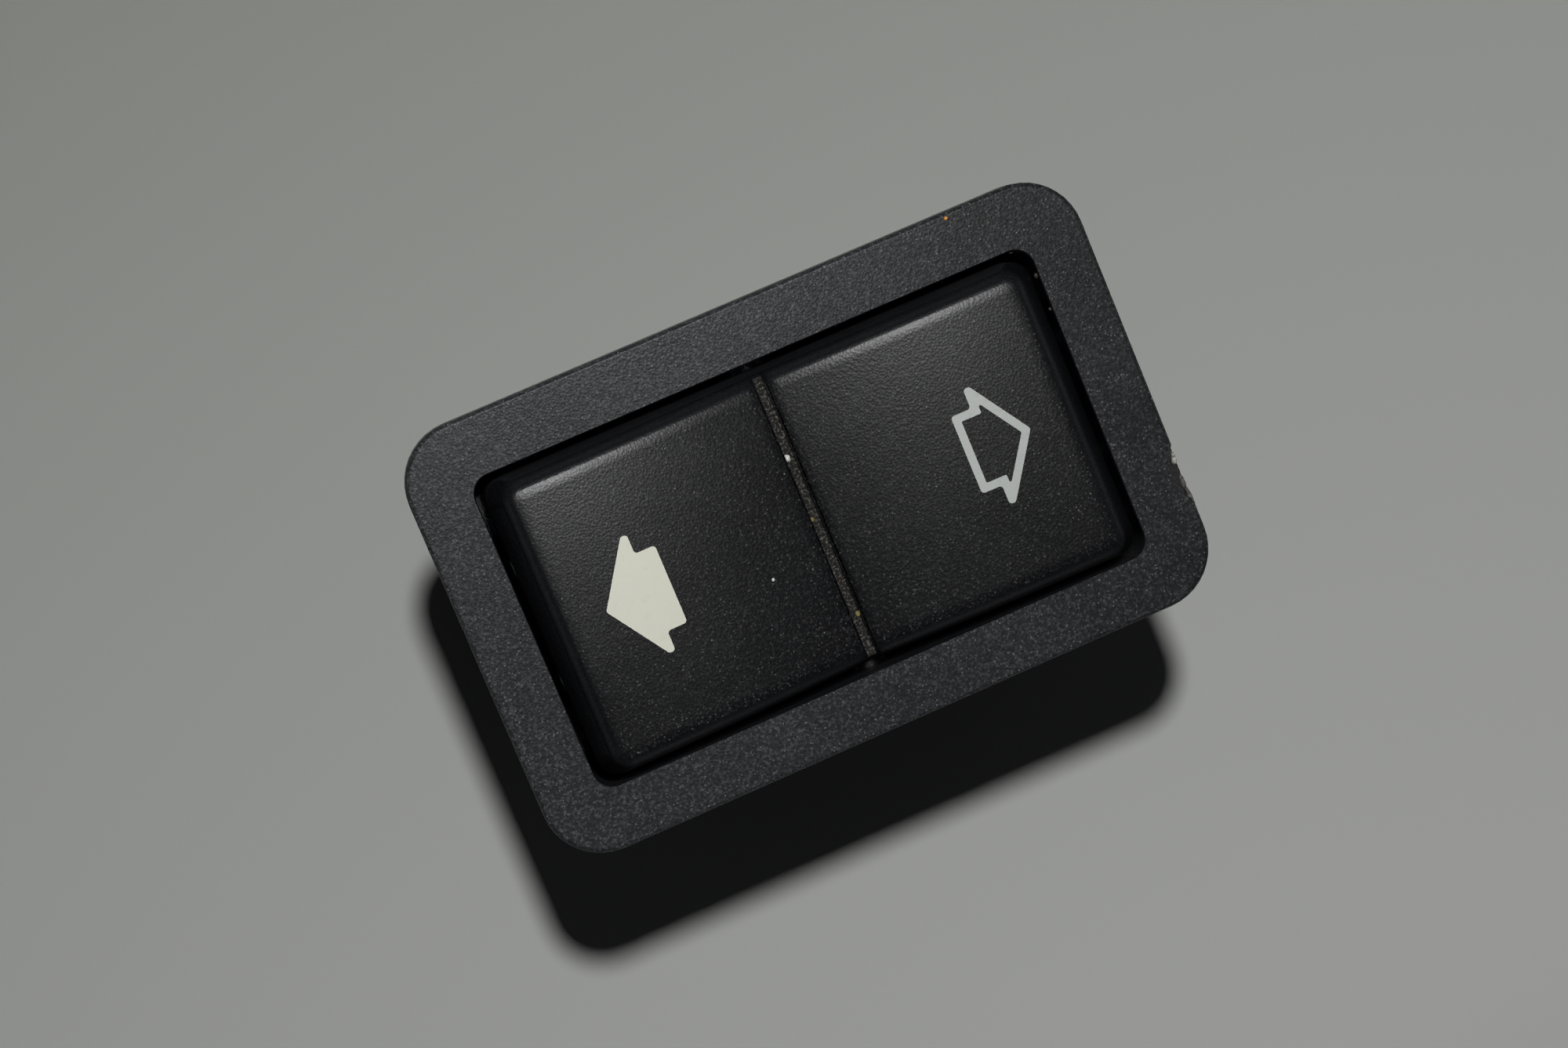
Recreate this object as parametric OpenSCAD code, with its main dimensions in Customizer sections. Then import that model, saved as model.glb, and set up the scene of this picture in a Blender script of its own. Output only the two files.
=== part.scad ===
// Console switch for a power window: a framed housing, a tilting rocker with two arrow lenses,
// two sprung plungers on see-saw contacts, a lamp, and a base with a plug-in connector.
// The frame stands at the middle of the connector rim: +X to the outline arrow, +Z out of the face.

/* [Bezel] */
// Length of the frame around the rocker
bezel_l = 44; // [40:0.5:56]
// Width of the frame around the rocker
bezel_w = 27.7; // [26:0.1:36]
// Thickness of the frame
bezel_t = 2; // [1.4:0.1:3]
// Plan radius of the frame's outer corners
bezel_corner_r = 3.75; // [2:0.25:6]
// Width of the frame between its outer edge and the opening
bezel_border = 3.75; // [3:0.05:4.5]
// Plan radius of the opening's corners
opening_corner_r = 1.2; // [0.6:0.1:2]
// Length of the piece broken out of the frame's right edge
chip_l = 3.3; // [1:0.1:6]
// Depth of the broken piece, in from the edge
chip_depth = 0.8; // [0.2:0.05:1.2]
// Place of the chip's middle along the right edge
chip_y = -6.55; // [-8:0.05:8]
// Thickness left standing under the chip
chip_floor = 0.5; // [0.2:0.1:1]

/* [Housing] */
// Wall of the housing under the frame
housing_wall = 1.2; // [0.9:0.1:2]
// Height of the housing wall from the base to the frame
housing_depth = 16.5; // [15:0.5:22]
// Thickness of the panel that the switch clips into
panel_t = 2.5; // [2.1:0.1:4]
// Width of the spring tongue in each end wall
tongue_w = 7; // [4:0.5:9]
// Height of the spring tongue, from its root to its free end
tongue_h = 10; // [7:0.5:11]
// Width of the slot around the tongue
tongue_slot = 0.7; // [0.4:0.1:1.2]
// Reach of the tongue's barb beyond the wall
barb_out = 0.45; // [0.2:0.05:0.8]
// Height of the barb's lead-in slope
barb_h = 3.5; // [2:0.1:5]
// Width of the ledges that stop the rocker
stop_w = 3; // [1.5:0.1:4]
// Reach of the stop ledges in from the end wall
stop_reach = 2; // [1:0.1:3]
// Height of the stop ledges
stop_h = 3; // [1:0.1:4]

/* [Rocker] */
// Gap between the rocker and the opening
rocker_gap = 0.5; // [0.4:0.05:1]
// Height of the face's outer ends above the frame
rocker_rise = 2.2; // [1.6:0.1:4]
// Side wall of the rocker
rocker_wall = 1.2; // [0.8:0.1:1.6]
// Thickness of the rocker's roof
rocker_roof = 1.7; // [1.3:0.1:2.5]
// Plan radius of the rocker's corners
rocker_corner_r = 1.6; // [0.6:0.1:2.5]
// Radius of the rounded edge around the face
rocker_edge_r = 0.8; // [0.5:0.1:1.4]
// Inward lean of the rocker's end walls, below the rounded edge
end_lean = 0.75; // [0.1:0.05:1]
// Inward lean of the rocker's long walls, below the rounded edge
side_lean = 0.25; // [0.01:0.01:0.5]
// Fall of each half of the face, from its outer end down to the groove
face_drop = 1.45; // [0.6:0.05:1.5]
// Width of the groove between the two halves
groove_w = 0.7; // [0.4:0.05:1.5]
// Depth of the groove between the two halves
groove_d = 0.5; // [0.2:0.05:0.8]
// Tilt of the rocker each way from level, in degrees
tilt = 7; // [4:0.5:8]
// Depth of the tilting axis below the top of the frame
pivot_drop = 4; // [3.6:0.1:5]
// Radius of the rocker's pivot pins
pin_r = 1.5; // [1:0.1:1.8]
// Running clearance around a pivot pin
pin_clear = 0.05; // [0.02:0.01:0.09]
// Distance of a pin's end inside the housing's outer face
pin_recess = 0.1; // [0:0.05:0.4]
// Depth of the rocker's skirt below the tilting axis
skirt_below_pivot = 2.5; // [2:0.1:3]
// Thickness of the rib that ties the plunger sleeves to the long walls
rib_t = 1; // [0.6:0.1:1.6]
// Room under the skirt at full tilt
stop_clear = 0.15; // [0.05:0.05:0.4]

/* [Arrows] */
// Distance of an arrow's tip from the rocker's end
arrow_margin = 3.9; // [3.6:0.05:6]
// Length of an arrow from tip to tail
arrow_l = 4.2; // [3.4:0.1:5]
// Length of the head, from tip to barbs
arrow_head_l = 2.9; // [2:0.1:3.2]
// Width across the barbs
arrow_head_w = 7.5; // [6.2:0.1:9]
// Width across the shaft
arrow_shaft_w = 5; // [3:0.1:5.6]
// Width of the flat end of a barb
barb_flat = 0.4; // [0.2:0.05:0.5]
// Line width of the outline arrow
arrow_line = 0.5; // [0.3:0.05:0.6]
// Radius at the outer corners of both arrows
arrow_outer_r = 0.22; // [0.05:0.01:0.28]
// Radius at the inner corners of the outline arrow
arrow_inner_r = 0.09; // [0.02:0.01:0.12]
// Depth of the outline arrow's line in the roof
arrow_line_depth = 0.7; // [0.5:0.05:0.8]
// Gap between a light pad and the roof
pad_clear = 0.05; // [0.02:0.01:0.2]
// Thickness of the light pad behind each arrow
pad_t = 0.8; // [0.4:0.1:1.2]
// Margin of the light pad around its arrow
pad_margin = 0.6; // [0.3:0.1:1]

/* [Plungers and springs] */
// Distance of each plunger and see-saw from the middle
row_y = 5; // [4.9:0.05:5.5]
// Radius of a plunger
plunger_r = 1.45; // [1:0.05:1.5]
// Running clearance around a plunger
plunger_clear = 0.05; // [0.02:0.01:0.09]
// Wall of the sleeve around a plunger
sleeve_wall = 0.6; // [0.4:0.05:0.8]
// Length of plunger below its sleeve
plunger_out = 3.5; // [2.5:0.1:4.5]
// Length of plunger inside its sleeve
plunger_in = 3; // [2:0.1:3.5]
// Gap between a plunger's tip and its see-saw
tip_clear = 0.05; // [0.03:0.01:0.15]
// Wire diameter of a plunger spring
wire_d = 0.4; // [0.25:0.05:0.5]
// Number of turns of a plunger spring
spring_turns = 6; // [4:1:7]
// Clearance around and at the ends of a spring
spring_clear = 0.1; // [0.05:0.05:0.2]

/* [Contacts] */
// Distance of the contacts from the middle of a see-saw
contact_x = 8.5; // [7:0.1:9]
// Width of a see-saw strip
strip_w = 4; // [3:0.1:4.2]
// Thickness of a see-saw strip
strip_t = 0.6; // [0.4:0.05:0.8]
// Rise of each arm of the see-saw, in degrees
strip_rise = 4; // [3:0.5:5]
// Height of a strip's underside above its rocking axis
strip_lift = 0.15; // [0.05:0.05:0.3]
// Length of strip beyond its contact
strip_end = 0.3; // [0.1:0.1:0.8]
// Turn of a see-saw for each degree of rocker tilt
strip_ratio = 0.8; // [0.6:0.05:0.9]
// Radius of the rocking bead under a strip
bead_r = 0.7; // [0.5:0.05:0.9]
// Running clearance around the bead
bead_clear = 0.05; // [0.02:0.01:0.09]
// Radius of a contact rivet's head
rivet_r = 1.2; // [0.8:0.05:1.3]
// Height of a contact rivet's head
rivet_h = 0.5; // [0.3:0.05:0.7]
// Radius of a contact rivet's shank
shank_r = 0.6; // [0.4:0.05:0.7]
// Clearance around a rivet's shank
shank_clear = 0.02; // [0.01:0.01:0.05]
// Gap left between closed contacts
contact_gap = 0.08; // [0.05:0.01:0.2]

/* [Terminals] */
// Width of a terminal blade
blade_w = 2.8; // [2:0.1:3]
// Thickness of a terminal blade
blade_t = 0.8; // [0.5:0.05:0.9]
// Length of the sloped end of a blade
blade_point = 0.7; // [0.3:0.1:1.2]
// Distance of the blade ends inside the connector rim
blade_recess = 1; // [0.5:0.1:3]
// Distance of the contact blades from the middle
terminal_x = 12; // [11:0.1:13]
// Distance of the lamp blades from the middle
lamp_terminal_x = 5; // [4.2:0.1:5.5]
// Room between the outer blades and the shroud's long walls
blade_margin = 0.6; // [0.4:0.05:1]
// Clearance around a blade in the base
slot_clear = 0.05; // [0.02:0.01:0.1]
// Height of the rocking axis above the base
fulcrum_h = 3.2; // [2.8:0.1:4]
// Length of a fulcrum block along the strip
fulcrum_l = 2.4; // [2:0.1:3]
// Thickness of the ears that keep a strip in line
ear_t = 0.5; // [0.3:0.05:0.6]
// Clearance between a strip's edge and an ear
ear_clear = 0.1; // [0.05:0.05:0.2]
// Height of the ears above the rocking axis
ear_h = 0.9; // [0.5:0.1:1.2]
// Distance of the cradle's lips below the rocking axis
cradle_drop = 0.1; // [0.05:0.05:0.3]

/* [Lamp] */
// Radius of the lamp bulb
bulb_r = 1.7; // [1.2:0.05:1.8]
// Length of the lamp bulb
bulb_l = 6.6; // [4.5:0.1:7]
// Clearance around the bulb in its holder
bulb_clear = 0.05; // [0.02:0.01:0.1]
// Wall of the lamp holder
holder_wall = 0.45; // [0.3:0.05:0.5]
// Height of the lamp holder
holder_h = 2; // [1.5:0.1:3]
// Thickness of the lamp holder's floor
holder_floor = 0.4; // [0.3:0.1:0.8]

/* [Base and connector] */
// Thickness of the base inside the housing
base_t = 2.5; // [2.2:0.1:3]
// Thickness of the flange that closes the housing
flange_t = 1.2; // [0.8:0.1:2]
// Clearance between the base and the housing walls
base_clear = 0.1; // [0.05:0.05:0.2]
// Height of the connector shroud
shroud_h = 6.3; // [5:0.1:9]
// Distance of the shroud inside the flange's edge
shroud_inset = 2.9; // [2:0.1:3.2]
// Wall of the connector shroud
shroud_wall = 1.4; // [1:0.1:1.6]
// Distance of the snap lugs from the middle
lug_x = 11; // [8:0.5:13]
// Width of a snap lug
lug_w = 4; // [2:0.5:6]
// Height of a snap lug
lug_h = 1.4; // [1:0.1:1.5]
// Height of the lugs above the flange
lug_lift = 0.9; // [0.6:0.1:1]
// Room around a lug in its window
lug_clear = 0.2; // [0.1:0.05:0.4]
// Width of the connector's latch wedge
latch_w = 6; // [3:0.5:9]
// Reach of the latch wedge beyond the shroud
latch_out = 1; // [0.5:0.1:1.4]
// Height of the latch wedge
latch_h = 2; // [1:0.1:2.5]
// Width of a coding rib inside the shroud
key_w = 1.2; // [0.8:0.1:2]
// Reach of a coding rib in from the shroud wall
key_reach = 0.9; // [0.4:0.1:1.2]
// Distance of the coding ribs from the middle
key_x = 7; // [4:0.5:9]

/* [Hidden] */
$fn = 64;
// Overlap that makes cuts break cleanly through a face
eps = 0.5;

// Plan sizes, from the frame inwards
opening_l = bezel_l - 2 * bezel_border;
opening_w = bezel_w - 2 * bezel_border;
body_l = opening_l + 2 * housing_wall;
body_w = opening_w + 2 * housing_wall;
body_corner_r = opening_corner_r + housing_wall;
rocker_l = opening_l - 2 * rocker_gap;
rocker_w = opening_w - 2 * rocker_gap;
plug_l = opening_l - 2 * base_clear;
plug_w = opening_w - 2 * base_clear;
shroud_l = body_l - 2 * shroud_inset;
shroud_w = body_w - 2 * shroud_inset;
shroud_corner_r = body_corner_r;
blade_y = shroud_w / 2 - shroud_wall - blade_margin - blade_w / 2;

// Heights, from the connector rim up
base_z = shroud_h + flange_t;
floor_z = base_z + base_t;
seat_z = base_z + housing_depth;
top_z = seat_z + bezel_t;
face_z = top_z + rocker_rise;
pivot_z = top_z - pivot_drop;
skirt_z = pivot_z - skirt_below_pivot;
stop_z = pivot_z - rocker_l / 2 * sin(tilt) - skirt_below_pivot * cos(tilt) - stop_clear;
barb_z = seat_z - panel_t;
tongue_z = barb_z + tongue_slot;

// Rocker face, an arc in each half that falls from the rounded end edge to the groove
face_half_l = rocker_l / 2 - end_lean - rocker_edge_r;
face_run = face_half_l - groove_w / 2;
face_r = (face_run * face_run + face_drop * face_drop) / (2 * face_drop);
roof_r = face_r - rocker_roof;
groove_z = face_z - face_drop - groove_d;
function arc_z(r, x) = face_z - face_r + sqrt(r * r - (face_half_l - x) * (face_half_l - x));
mid_roof_z = arc_z(roof_r, 0);

// Arrow places along the face
arrow_tip = rocker_l / 2 - arrow_margin;
arrow_tail = arrow_tip - arrow_l;
arrow_barb = arrow_tip - arrow_head_l;
arrow_slope = arrow_head_w / 2 / (arrow_head_l - barb_flat);
line_z = arc_z(face_r, arrow_tail) - arrow_line_depth;
lens_z = arc_z(roof_r, arrow_tail - pad_margin) - pad_clear;

// See-saw at rest and closed
seesaw_z = floor_z + fulcrum_h;
strip_arm = contact_x + rivet_r + strip_end;
closed_angle = strip_rise - strip_ratio * tilt;
closed_z = seesaw_z + contact_x * sin(closed_angle) + (strip_lift - rivet_h) * cos(closed_angle)
    - rivet_r * abs(sin(closed_angle));
fixed_top_z = closed_z - contact_gap;
pad_top_z = fixed_top_z - rivet_h;
pad_z = pad_top_z - blade_t;

// Plunger, sleeve and spring
tip_z = seesaw_z + (strip_lift + strip_t) / cos(strip_rise) + tip_clear;
sleeve_z = tip_z + plunger_out;
plunger_top_z = sleeve_z + plunger_in;
sleeve_bore_r = plunger_r + plunger_clear;
spring_r = sleeve_bore_r - spring_clear - wire_d / 2;
spring_low_z = plunger_top_z + spring_clear + wire_d / 2;
spring_rise = mid_roof_z - spring_clear - wire_d / 2 - spring_low_z;
spring_steps = 14;
wire_sides = 8;

// Lamp holder
holder_half = bulb_r + bulb_clear + holder_wall;

// Rectangle with round corners, centred
module rounded_rect(l, w, r) {
    square([l - 2 * r, w], center = true);
    square([l, w - 2 * r], center = true);
    for (x = [-1, 1], y = [-1, 1])
        translate([x * (l / 2 - r), y * (w / 2 - r)])
            circle(r);
}

// Plate with round corners, standing on the height z
module plate(l, w, r, z, h) {
    translate([0, 0, z])
        linear_extrude(h)
            rounded_rect(l, w, r);
}

// Extrusion of a profile drawn in X and Z, centred on the width w
module across(w) {
    translate([0, w / 2, 0])
        rotate([90, 0, 0])
            linear_extrude(w)
                children();
}

// Extrusion of a profile drawn in Y and Z, centred on the length l
module along(l) {
    translate([-l / 2, 0, 0])
        rotate([90, 0, 90])
            linear_extrude(l)
                children();
}

// Box between two heights, centred in plan
module block(l, w, z0, z1) {
    translate([-l / 2, -w / 2, z0])
        cube([l, w, z1 - z0]);
}

// Section of the rocker with leaning walls and rounded top edges
module rocker_section(half, lean, low_z) {
    inset = lean + rocker_edge_r;
    drop = rocker_rise - rocker_edge_r;
    centre = [half - inset, face_z - rocker_edge_r];
    touch = atan2(-drop, inset) + acos(rocker_edge_r / sqrt(inset * inset + drop * drop));
    wall_top = centre + rocker_edge_r * [cos(touch), sin(touch)];
    for (side = [0, 1])
        mirror([side, 0]) {
            polygon([
                [0, low_z], [half, low_z], [half, top_z], wall_top, [centre[0], face_z], [0, face_z]
            ]);
            translate(centre)
                circle(rocker_edge_r);
        }
}

// Section of the rocker swept along the arc of the right half of its face
module right_half_sweep() {
    translate([face_half_l, 0, face_z - face_r])
        rotate([-90, 0, 0])
            rotate([0, 0, -110])
                rotate_extrude(angle = 25, $fn = 720)
                    translate([face_r - face_z, 0])
                        rotate(-90)
                            rocker_section(rocker_w / 2, side_lean, skirt_z - 2 * eps);
}

// Solid outer form of the rocker, with its falling halves and groove
module rocker_form() {
    difference() {
        intersection() {
            across(rocker_w)
                rocker_section(rocker_l / 2, end_lean, skirt_z);
            for (end = [0, 1])
                mirror([end, 0, 0])
                    intersection() {
                        right_half_sweep();
                        translate([0, -rocker_w / 2 - eps, skirt_z - eps])
                            cube([rocker_l / 2 + eps, rocker_w + 2 * eps, face_z - skirt_z + 2 * eps]);
                    }
            plate(rocker_l, rocker_w, rocker_corner_r, skirt_z, face_z - skirt_z);
        }
        block(groove_w, rocker_w + 2 * eps, groove_z, face_z + eps);
    }
}

// Space under the roof, seen from the long side
module under_roof() {
    for (end = [0, 1])
        mirror([end, 0])
            intersection() {
                translate([face_half_l, face_z - face_r])
                    circle(roof_r, $fn = 720);
                translate([0, skirt_z - eps])
                    square([rocker_l / 2, face_z - skirt_z + eps]);
            }
}

// Corner b of an outline, rounded between its neighbours a and c
function unit(v) = v / norm(v);
function turn_to(a, b) = (b - a + 540) % 360 - 180;
function round_corner(a, b, c, r) =
    let (u = unit(a - b), v = unit(c - b))
    let (half = acos(u * v) / 2)
    let (centre = b + unit(u + v) * r / sin(half))
    let (from = b + u * r / tan(half) - centre, to = b + v * r / tan(half) - centre)
    let (start = atan2(from[1], from[0]), sweep = turn_to(start, atan2(to[1], to[0])))
    [for (i = [0 : 5]) let (t = start + sweep * i / 5) centre + r * [cos(t), sin(t)]];
function round_outline(p, r) =
    let (n = len(p))
    [for (i = [0 : n - 1]) each round_corner(p[(i + n - 1) % n], p[i], p[(i + 1) % n], r)];

// Upper half of the arrow's outline, from the tail to the tip
arrow_half = [
    [arrow_tail, arrow_shaft_w / 2],
    [arrow_barb, arrow_shaft_w / 2],
    [arrow_barb, arrow_head_w / 2],
    [arrow_barb + barb_flat, arrow_head_w / 2]
];
// Upper half of the outline arrow's inner edge
inner_tip = arrow_tip - arrow_line * sqrt(1 + 1 / (arrow_slope * arrow_slope));
inner_shaft = arrow_shaft_w / 2 - arrow_line;
inner_barb = (inner_tip - arrow_barb - arrow_line) * arrow_slope;
inner_half = [
    [arrow_tail + arrow_line, inner_shaft],
    [arrow_barb + arrow_line, inner_shaft],
    [arrow_barb + arrow_line, inner_barb]
];
// Corner radii, limited by the short edges that they lie on
outer_corner_r = min(arrow_outer_r, 0.56 * barb_flat);
inner_corner_r = min(arrow_inner_r, 0.16 * (inner_barb - inner_shaft));
function closed_outline(half, tip) =
    concat(half, [[tip, 0]], [for (i = [len(half) - 1 : -1 : 0]) [half[i][0], -half[i][1]]]);

// Filled arrow outline that points along +X
module arrow() {
    polygon(round_outline(closed_outline(arrow_half, arrow_tip), outer_corner_r));
}

// Line of the outline arrow
module arrow_outline() {
    difference() {
        arrow();
        polygon(round_outline(closed_outline(inner_half, inner_tip), inner_corner_r));
    }
}

// Places of the outline arrow where its line goes right through the roof
module arrow_legs() {
    intersection() {
        arrow_outline();
        union() {
            translate([arrow_tail, -arrow_line])
                square([arrow_line, 2 * arrow_line]);
            for (side = [-1, 1])
                translate([arrow_barb, side * arrow_head_w / 2 - arrow_line])
                    square(2 * arrow_line);
        }
    }
}

// Prism of the filled arrow through the roof, pointing along -X
module filled_arrow_prism(z0) {
    translate([0, 0, z0])
        linear_extrude(face_z - z0 + eps)
            mirror([1, 0])
                arrow();
}

// Prism of the outline arrow, a line in the face on legs through the roof
module outline_arrow_prism(z0) {
    translate([0, 0, line_z])
        linear_extrude(face_z - line_z + eps)
            arrow_outline();
    translate([0, 0, z0])
        linear_extrude(face_z - z0)
            arrow_legs();
}

// Pad that gathers the lamp's light behind an arrow
module light_pad(side) {
    length = arrow_l + 2 * pad_margin;
    translate([side * (arrow_tip + arrow_tail) / 2, 0, 0])
        block(length, arrow_head_w + 2 * pad_margin, lens_z - pad_t, lens_z);
}

// Frame and body in one moulding, with spring tongues, windows and pivot holes
module housing() {
    window_w = lug_w + 2 * lug_clear;
    window_z = base_z + lug_lift - lug_clear;
    window_top_z = base_z + lug_lift + lug_h + lug_clear;
    color("#26272a")
        difference() {
            union() {
                plate(bezel_l, bezel_w, bezel_corner_r, seat_z, bezel_t);
                plate(body_l, body_w, body_corner_r, base_z, housing_depth);
                for (end = [0, 1])
                    mirror([end, 0, 0])
                        across(tongue_w)
                            tongue_barb();
            }
            difference() {
                plate(opening_l, opening_w, opening_corner_r, base_z - eps, top_z - base_z + 2 * eps);
                stop_ledges();
            }
            for (end = [0, 1])
                mirror([end, 0, 0])
                    tongue_gap();
            translate([0, 0, pivot_z])
                rotate([90, 0, 0])
                    cylinder(r = pin_r + pin_clear, h = body_w + 2 * eps, center = true);
            for (x = [-lug_x, lug_x])
                translate([x, 0, 0])
                    block(window_w, body_w + 2 * eps, window_z, window_top_z);
            edge_chip();
        }
}

// Wedge on a spring tongue that holds the panel against the frame
module tongue_barb() {
    wall = body_l / 2;
    root = wall - housing_wall / 2;
    land = barb_out / 2;
    polygon([
        [root, barb_z - barb_h], [wall, barb_z - barb_h], [wall + barb_out, barb_z - 2 * land],
        [wall + barb_out, barb_z - land], [wall, barb_z], [root, barb_z]
    ]);
}

// Slot on three sides of a spring tongue
module tongue_gap() {
    low_z = tongue_z - tongue_h;
    wall_x = opening_l / 2 - eps;
    translate([wall_x + housing_wall / 2 + eps, 0, 0])
        difference() {
            block(housing_wall + 2 * eps, tongue_w + 2 * tongue_slot, low_z, tongue_z);
            block(housing_wall + 3 * eps, tongue_w, low_z - eps, tongue_z - tongue_slot);
        }
}

// Ledges in the four corners that the rocker's skirt comes down on
module stop_ledges() {
    far_y = opening_w / 2 - opening_corner_r - stop_w / 2;
    for (x = [-1, 1], y = [-1, 1])
        translate([x * (opening_l / 2 - stop_reach / 2 + eps / 2), y * far_y, 0])
            block(stop_reach + eps, stop_w, stop_z - stop_h, stop_z);
}

// Piece broken out of the frame's right edge
module edge_chip() {
    edge = bezel_l / 2;
    translate([edge, chip_y, seat_z + chip_floor])
        linear_extrude(bezel_t)
            polygon([
                [eps, 0.56 * chip_l], [-0.44 * chip_depth, 0.51 * chip_l],
                [-0.85 * chip_depth, 0.26 * chip_l], [-chip_depth, 0.15 * chip_l],
                [-0.96 * chip_depth, 0.02 * chip_l], [-0.88 * chip_depth, -0.22 * chip_l],
                [-0.66 * chip_depth, -0.38 * chip_l], [-0.34 * chip_depth, -0.46 * chip_l],
                [eps, -0.54 * chip_l]
            ]);
}

// Hollow rocker with pivot pins, a rib and two plunger sleeves
module rocker_cap() {
    inner_l = rocker_l - 2 * rocker_wall;
    inner_w = rocker_w - 2 * rocker_wall;
    inner_r = max(rocker_corner_r - rocker_wall, 0.3);
    roots_z = mid_roof_z + rocker_roof / 3;
    color("#202124")
        difference() {
            union() {
                difference() {
                    rocker_form();
                    intersection() {
                        plate(inner_l, inner_w, inner_r, skirt_z - eps, face_z - skirt_z + eps);
                        across(inner_w + rocker_wall)
                            under_roof();
                    }
                }
                block(rib_t, inner_w + rocker_wall, skirt_z, roots_z);
                for (side = [-1, 1]) {
                    translate([0, side * row_y, sleeve_z])
                        cylinder(r = sleeve_bore_r + sleeve_wall, h = roots_z - sleeve_z);
                    translate([0, side * inner_w / 2, pivot_z])
                        rotate([-side * 90, 0, 0])
                            cylinder(r = pin_r, h = (body_w - inner_w) / 2 - pin_recess);
                }
            }
            for (side = [-1, 1])
                translate([0, side * row_y, sleeve_z - eps])
                    cylinder(r = sleeve_bore_r, h = mid_roof_z - sleeve_z + eps);
            filled_arrow_prism(lens_z - eps);
            outline_arrow_prism(lens_z - eps);
        }
}

// Solid white arrow, flush with the face
module filled_arrow_lens() {
    color("#dcdccb") {
        intersection() {
            rocker_form();
            filled_arrow_prism(lens_z);
        }
        light_pad(-1);
    }
}

// White arrow outline, flush with the face
module outline_arrow_lens() {
    color("#c3c8c4") {
        intersection() {
            rocker_form();
            outline_arrow_prism(lens_z);
        }
        light_pad(1);
    }
}

// Round-tipped plunger that slides in a sleeve
module plunger(y) {
    color("#e4e1d6")
        translate([0, y, 0]) {
            translate([0, 0, tip_z + plunger_r])
                cylinder(r = plunger_r, h = plunger_top_z - tip_z - plunger_r);
            translate([0, 0, tip_z + plunger_r])
                sphere(plunger_r);
        }
}

module plunger_front() {
    plunger(-row_y);
}

module plunger_rear() {
    plunger(row_y);
}

// Coil of round wire, swept along a helix
module spring_coil(y) {
    steps = spring_turns * spring_steps;
    rings = [
        for (i = [0 : steps], k = [0 : wire_sides - 1])
            let (turn = i * 360 / spring_steps, face = k * 360 / wire_sides)
            let (reach = spring_r + wire_d / 2 * cos(face))
            [reach * cos(turn), reach * sin(turn), spring_rise * i / steps + wire_d / 2 * sin(face)]
    ];
    sides = [
        for (i = [0 : steps - 1], k = [0 : wire_sides - 1])
            let (a = i * wire_sides + k, b = i * wire_sides + (k + 1) % wire_sides)
            [a, a + wire_sides, b + wire_sides, b]
    ];
    first = [for (k = [0 : wire_sides - 1]) k];
    last = [for (k = [wire_sides - 1 : -1 : 0]) steps * wire_sides + k];
    color("#b9bcc0")
        translate([0, y, spring_low_z])
            polyhedron(rings, concat(sides, [first, last]));
}

module plunger_spring_front() {
    spring_coil(-row_y);
}

module plunger_spring_rear() {
    spring_coil(row_y);
}

// Places its child on both arms of a see-saw, in the arm's own frame
module on_arms(y) {
    for (end = [0, 1])
        translate([0, y, seesaw_z])
            mirror([end, 0, 0])
                rotate([0, -strip_rise, 0])
                    children();
}

// Bent see-saw strip with a rocking bead under its middle
module contact_strip(y) {
    color("#b9853f")
        difference() {
            union() {
                on_arms(y)
                    translate([0, -strip_w / 2, strip_lift])
                        cube([strip_arm, strip_w, strip_t]);
                translate([0, y, seesaw_z])
                    rotate([90, 0, 0])
                        cylinder(r = bead_r, h = strip_w, center = true);
            }
            on_arms(y)
                translate([contact_x, 0, strip_lift - eps])
                    cylinder(r = shank_r + shank_clear, h = strip_t + 2 * eps);
        }
}

module contact_strip_front() {
    contact_strip(-row_y);
}

module contact_strip_rear() {
    contact_strip(row_y);
}

// Pair of rivets that a see-saw carries
module moving_contacts(y) {
    color("#c9c9c4")
        on_arms(y)
            translate([contact_x, 0, strip_lift - rivet_h]) {
                cylinder(r = rivet_r, h = rivet_h);
                cylinder(r = shank_r, h = rivet_h + strip_t);
            }
}

module moving_contacts_front() {
    moving_contacts(-row_y);
}

module moving_contacts_rear() {
    moving_contacts(row_y);
}

// Four rivets on the terminals that the see-saws close on
module fixed_contacts() {
    color("#c9c9c4")
        for (x = [-contact_x, contact_x], y = [-row_y, row_y])
            translate([x, y, 0]) {
                translate([0, 0, pad_top_z])
                    cylinder(r = rivet_r, h = rivet_h);
                translate([0, 0, pad_z])
                    cylinder(r = shank_r, h = blade_t + rivet_h);
            }
}

// Terminal blade from the connector up to the height z1, with a sloped end
module blade(x, y, z1) {
    half = blade_t / 2;
    translate([x, y, 0])
        across(blade_w)
            polygon([
                [-half, blade_recess + blade_point], [-half / 2, blade_recess], [half / 2, blade_recess],
                [half, blade_recess + blade_point], [half, z1], [-half, z1]
            ]);
}

// Blade bent into a pad that carries a fixed contact
module contact_terminal(side, row) {
    pad_l = terminal_x + blade_t / 2 - contact_x + rivet_r;
    color("#b7995b")
        difference() {
            union() {
                blade(side * terminal_x, row * blade_y, pad_top_z);
                translate([side * (terminal_x + blade_t / 2 - pad_l / 2), row * row_y, 0])
                    block(pad_l, blade_w, pad_z, pad_top_z);
            }
            translate([side * contact_x, row * row_y, pad_z - eps])
                cylinder(r = shank_r + shank_clear, h = blade_t + 2 * eps);
        }
}

module contact_terminal_front_left() {
    contact_terminal(-1, -1);
}

module contact_terminal_front_right() {
    contact_terminal(1, -1);
}

module contact_terminal_rear_left() {
    contact_terminal(-1, 1);
}

module contact_terminal_rear_right() {
    contact_terminal(1, 1);
}

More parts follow.
